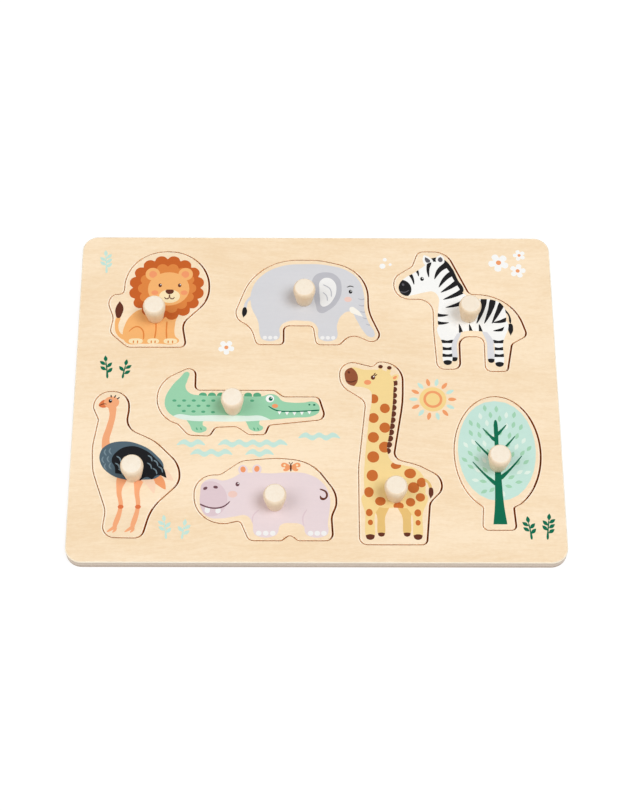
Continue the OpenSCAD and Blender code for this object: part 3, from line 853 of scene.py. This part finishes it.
neck_spots = [spot(-9.4 + (3.6 if k % 2 else -3.4) + 0.021 * (46 - 6.6 * k), 66 - 6.6 * k,
                   2.9 + 0.12 * k, 3.2 + 0.1 * k, 25 * k) for k in range(7)]
trunk_spots = [spot(-13.4, 14, 3.4, 3.8, 10), spot(-15.6, 3, 2.8, 3.4, 50), spot(-8.8, -3, 3.2, 2.8, 80),
               spot(1, 20.6, 3.2, 2.2), spot(9.6, 15.4, 3.6, 3.2, 30), spot(16.4, 9.4, 2.8, 3.2, 60),
               spot(11.4, 6, 3.4, 3.6, 15), spot(2.2, -6, 3.2, 2.2, 40), spot(15.4, -0.4, 2.8, 2.8, 75),
               spot(9.4, -3.6, 2.8, 2.8, 20), spot(-10.6, 21.4, 3.0, 3.0, 65)]
leg_spots = [spot(-15.6, -10.4, 2.0, 2.4, 30), spot(13.6, -10.6, 2.0, 2.4),
             spot(-15, -16.8, 1.5, 1.8), spot(13.6, -17, 1.5, 1.8, 40)]
tufts = [oval(0.9 - 0.0022 * (72 - y) ** 2 - 0.02 * (72 - y), y, 2.1, 1.9, 60)
         for y in (72.4 - 4.2 * k for k in range(11))]
picture_of("giraffe", [
    film(deep_straw, *far_pair),
    film(brown, oval(-8.5, -25.2, 3, 1.9), within=far_pair[0]),
    film(brown, oval(6.9, -25.2, 3, 1.9), within=far_pair[1]),
    film(deep_straw, dab((17, 11.6, 0.9), (20.4, 9.6, 0.8), (21.9, 5.4, 0.7))),
    film(brown, blob((21.9, 6.2), (20.5, 2.6), (21.6, -1.2, 0), (23.4, 2.4))),
    film(brown, petals(1.2, 77, 2.2, 2.2, 5, 0.14), *tufts),
    film(straw, blob((-0.8, 79.6), (1.2, 82.8), (4, 82.8, 0), (3.4, 80.2), (1.4, 78.4))),
    film(peach, blob((0.4, 80.2), (1.6, 81.8), (3, 81.9, 0), (2.5, 80.5), (1.4, 79.6))),
    film(straw, dab((-7.4, 84.4, 0.9), (-7.2, 88, 0.8)), dab((-2.6, 83.4, 0.9), (-1.8, 87.2, 0.8))),
    film(brown, oval(-7.2, 88.4, 1.45, 1.3), oval(-1.7, 87.6, 1.45, 1.3)),
    film(straw, front_leg),
    film(straw, hind_leg),
    film(brown, oval(-15.2, -27, 3.6, 2.6), within=front_leg),
    film(brown, oval(13.4, -27, 3.6, 2.6), within=hind_leg),
    film(straw, giraffe_shape),
    film(spot_brown, *neck_spots, *trunk_spots, within=giraffe_shape),
    film(spot_brown, *leg_spots),
    film(chestnut, oval(-28, 81, 6.6, 7.6, 15), within=giraffe_shape),
    film(peach, oval(-15.4, 77.4, 2.2, 1.7)),
    film(brown, oval(-27, 84.4, 0.7, 0.9, 30),
         dab((-28.8, 78.4, 0.2), (-25.6, 77.6, 0.4), (-22.4, 78.8, 0.2)),
         oval(-12, 80.8, 1.35, 1.6), dab((-10.8, 82, 0.3), (-9.4, 83, 0.15)),
         dab((-11.4, 82.6, 0.3), (-10.4, 84, 0.15))),
    film(white, oval(-11.5, 81.4, 0.42)),
])

# Tree: an oval crown of mint with small leaves that turn outwards from a branching trunk. Printed on
# its figure before the figure is cut out, with a bare border of wood left all round.
leaf_green = ink("leaf green", 164, 213, 181)
crown = (0, 10.5, 23.8, 33.6)
golden_turn = 137.5
last_leaf = 62
leaf_numbers = range(4, last_leaf + 1)
branches = [dab((0.4 * hand, y, 0.9), (hand * reach * 0.5, y + reach * 0.45, 0.7),
                (hand * reach, y + reach * 1.05, 0.2)) for hand, y, reach in
            ((-1, -13, 15), (1, -9, 15), (-1, 3, 13), (1, 8, 11.5), (-1, 17, 8), (1, 21, 6.5))]


def leaf(k):
    """The k-th leaf of a spiral that fills the crown, pointing away from the trunk's head."""
    way = step_at(k * golden_turn) * math.sqrt(k / last_leaf)
    x = crown[0] + crown[2] * 0.88 * way.x
    y = crown[1] + crown[3] * 0.9 * way.y
    away = Vector((x, y + 12)).normalized()
    return dab((x - away.x * 1.9, y - away.y * 1.9, 0.25), (x, y, 1.15),
               (x + away.x * 2.3, y + away.y * 2.3, 0.12))


picture_of("tree", [
    film(mint, oval(*crown)),
    film(leaf_green, *(leaf(k) for k in leaf_numbers if k % 3)),
    film(pale_mint, *(leaf(k) for k in leaf_numbers if k % 3 == 0)),
    film(dark_green, *branches),
    film(dark_green, blob((-4.2, -38.4, 0), (4.2, -38.4, 0), (2.8, -26), (2, -8), (1.3, 10), (0.5, 31),
                          (-0.5, 31), (-1.3, 10), (-2, -8), (-2.8, -26))),
])

# Pegs: turned from a pale close-grained wood, sanded and left bare. Each flares to a rounded head, and
# its tenon is glued into the hole of its figure.
upright_grain = (0, math.radians(90), 0)
# The sides are side grain, painted a shade darker and warmer than the end grain on top as painted shade
shaded_peg_side = wood("Turned side in painted shade", veneer_grain, {
    "Pale": colour(251, 233, 209), "Dark": colour(245, 224, 195)}, turn=upright_grain)
peg_top = wood("Sanded end grain", veneer_grain, {
    "Pale": colour(250, 239, 222), "Dark": colour(245, 231, 211)}, turn=upright_grain)
for figure in figures:
    turned = welded(figure + "_peg")
    for face in turned.faces:
        face.material_index = 1 if face.normal.z > 0.95 else 0
    settled(turned, figure + "_knob", figure, [shaded_peg_side, peg_top], figure + "_peg")

# Studio: the puzzle lies on a white table under a wide soft light from the right and a weaker one
# from the left. For the camera the table glows a little, so that only soft shadows show on it.
table = bpy.data.meshes.new("table")
bm = bmesh.new()
bmesh.ops.create_grid(bm, x_segments=1, y_segments=1, size=4)
bmesh.ops.translate(bm, verts=bm.verts, vec=(0, 0, -0.1 * MM))
bm.to_mesh(table)
bm.free()
table_top = bpy.data.objects.new("table", table)
bpy.context.scene.collection.objects.link(table_top)

table_white = bpy.data.materials.new("Table white")
table_white.use_nodes = True
tree = table_white.node_tree
tree.nodes.remove(tree.nodes["Principled BSDF"])
seen = add(tree, "ShaderNodeLightPath", {}).outputs["Is Camera Ray"]
matt = add(tree, "ShaderNodeBsdfDiffuse", {"Color": (0.86, 0.86, 0.86, 1)}).outputs[0]
faint = add(tree, "ShaderNodeBsdfDiffuse", {"Color": (0.2, 0.2, 0.2, 1)}).outputs[0]
glow = add(tree, "ShaderNodeEmission", {"Color": (1, 1, 1, 1), "Strength": 0.85}).outputs[0]
glowing = add(tree, "ShaderNodeAddShader", {0: faint, 1: glow}).outputs[0]
either = add(tree, "ShaderNodeMixShader", {0: seen, 1: matt, 2: glowing}).outputs[0]
tree.links.new(either, tree.nodes["Material Output"].inputs["Surface"])
table.materials.append(table_white)

world = bpy.data.worlds.new("Studio")
bpy.context.scene.world = world
world.use_nodes = True
tree = world.node_tree
rays_of = add(tree, "ShaderNodeLightPath", {}).outputs
glassy = reckoned(tree, "MAXIMUM", rays_of["Is Glossy Ray"], rays_of["Is Transmission Ray"])
shown = reckoned(tree, "MAXIMUM", rays_of["Is Camera Ray"], glassy)
white_sky = add(tree, "ShaderNodeBackground", {"Color": (1, 1, 1, 1), "Strength": 1.0}).outputs[0]
dim_sky = add(tree, "ShaderNodeBackground", {"Color": (1, 0.947, 0.895, 1), "Strength": 0.35}).outputs[0]
sky = add(tree, "ShaderNodeMixShader", {0: shown, 1: dim_sky, 2: white_sky}).outputs[0]
tree.links.new(sky, tree.nodes["World Output"].inputs["Surface"])


def bearing(heading, elevation):
    """The way from the puzzle to a lamp or a camera, in degrees to the right of its front and upwards."""
    outwards, upwards = step_at(elevation)
    return Vector((*(step_at(heading - 90) * outwards), upwards))


for name, heading, elevation, strength, spread, tint in (
        ("key", 72, 66, 1.544, 30, (0.896, 0.955, 1)), ("fill", -75, 58, 0.916, 40, (1, 0.956, 0.922))):
    lamp = bpy.data.lights.new(name, "SUN")
    lamp.energy = strength
    lamp.color = tint
    lamp.angle = math.radians(spread)
    holder = bpy.data.objects.new(name, lamp)
    bpy.context.scene.collection.objects.link(holder)
    holder.rotation_mode = "QUATERNION"
    holder.rotation_quaternion = bearing(heading, elevation).to_track_quat("Z", "Y")

# Camera: a long lens above the puzzle's front edge, aimed a little before the middle of the sheet and
# tilted about its own axis, as a hand-levelled tripod leaves it.
camera_heading = -1.16
camera_elevation = 63.75
camera_tilt = math.radians(1.17)
camera_distance = 1.175
camera_aim = Vector((0.27 * MM, -8.45 * MM, frame_high.z))
image_width, image_height = 634, 811
image_focus = 1902.3
lens = bpy.data.cameras.new("camera")
lens.sensor_width = 36
lens.lens = image_focus * lens.sensor_width / max(image_width, image_height)
camera = bpy.data.objects.new("camera", lens)
bpy.context.scene.collection.objects.link(camera)
away = bearing(camera_heading, camera_elevation)
level = Vector((0, 0, 1)).cross(away).normalized()
upward = away.cross(level)
side = level * math.cos(camera_tilt) + upward * math.sin(camera_tilt)
top = upward * math.cos(camera_tilt) - level * math.sin(camera_tilt)
turned_to = Matrix((side, top, away)).transposed()
camera.matrix_world = Matrix.Translation(camera_aim + away * camera_distance) @ turned_to.to_4x4()
bpy.context.scene.camera = camera
bpy.context.scene.view_settings.view_transform = "Standard"
